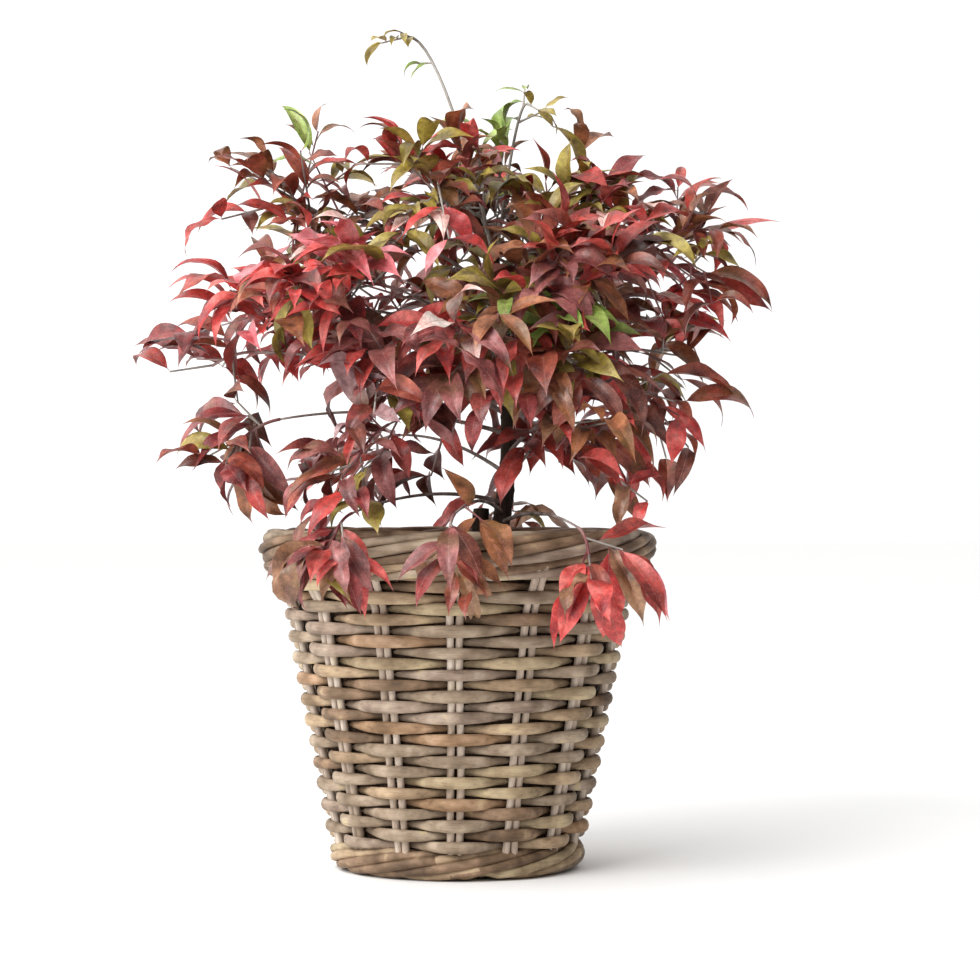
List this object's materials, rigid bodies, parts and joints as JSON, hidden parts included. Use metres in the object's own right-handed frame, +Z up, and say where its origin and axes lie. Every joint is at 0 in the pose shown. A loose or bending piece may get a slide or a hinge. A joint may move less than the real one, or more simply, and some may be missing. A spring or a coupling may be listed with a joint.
{
  "type": "potted heavenly bamboo in a rattan basket",
  "caption": "Dwarf red heavenly bamboo: one leaning trunk with arching boughs and masses of pointed leaves, in a flared woven rattan basket filled with soil.",
  "frame": {"origin": "middle of the basket's flat underside, on the ground", "axes": "+Z up, -Y towards the viewer of the front, +X to the right as seen from the front"},
  "size_m": [0.461, 0.4186, 0.5834],
  "materials": {
    "rattan": "matt grey-brown kubu rattan with cream and dark strands",
    "soil": "dark, coarse, matt potting soil",
    "bark": "dark brown, nearly black, finely ridged bark",
    "petiole": "smooth grey-red leaf stalks",
    "leaf_scarlet": "scarlet leaf with a soft waxy sheen",
    "leaf_crimson": "crimson leaf with a soft waxy sheen",
    "leaf_burgundy": "dark burgundy leaf with a soft waxy sheen",
    "leaf_copper": "copper-brown leaf with a soft waxy sheen",
    "leaf_plum": "dusky plum leaf with a grey bloom",
    "leaf_olive": "olive leaf turning red",
    "leaf_green": "fresh yellow-green leaf",
    "leaf_pink": "pale coral-pink leaf",
    "leaf_dry": "dry, curled brown leaf"
  },
  "bodies": {
    "root": {"basket_floor": "rattan", "basket_foot": "rattan", "basket_rim": "rattan", "basket_wall": "rattan", "bough_hanging_back": "bark", "bough_hanging_front": "bark", "bough_hanging_left": "bark", "bough_hanging_right": "bark", "bough_lower_back_left": "bark", "bough_lower_back_right": "bark", "bough_lower_front_left": "bark", "bough_lower_front_right": "bark", "bough_lower_left": "bark", "bough_lower_right": "bark", "bough_middle_front": "bark", "bough_middle_front_left": "bark", "bough_middle_front_right": "bark", "bough_middle_left": "bark", "bough_middle_right": "bark", "bough_top_left": "bark", "bough_top_right": "bark", "bough_upper_back": "bark", "bough_upper_back_left": "bark", "bough_upper_back_right": "bark", "bough_upper_front_left": "bark", "bough_upper_front_right": "bark", "bough_upper_left": "bark", "bough_upper_right": "bark", "leaves_hanging_back": "leaf_crimson", "leaves_hanging_front": "leaf_burgundy", "leaves_hanging_left": "leaf_plum", "leaves_hanging_right": "leaf_scarlet", "leaves_lower_back_left": "leaf_burgundy", "leaves_lower_back_right": "leaf_plum", "leaves_lower_front_left": "leaf_crimson", "leaves_lower_front_right": "leaf_crimson", "leaves_lower_left": "leaf_crimson", "leaves_lower_right": "leaf_crimson", "leaves_middle_front": "leaf_crimson", "leaves_middle_front_left": "leaf_plum", "leaves_middle_front_right": "leaf_olive", "leaves_middle_left": "leaf_plum", "leaves_middle_right": "leaf_burgundy", "leaves_sprig_left": "leaf_olive", "leaves_sprig_right": "leaf_olive", "leaves_top_back": "leaf_copper", "leaves_top_front": "leaf_olive", "leaves_top_left": "leaf_burgundy", "leaves_top_right": "leaf_burgundy", "leaves_upper_back": "leaf_burgundy", "leaves_upper_back_left": "leaf_scarlet", "leaves_upper_back_right": "leaf_crimson", "leaves_upper_front_left": "leaf_scarlet", "leaves_upper_front_right": "leaf_crimson", "leaves_upper_left": "leaf_scarlet", "leaves_upper_right": "leaf_burgundy", "soil": "soil", "trunk": "bark"}
  },
  "joints": []
}
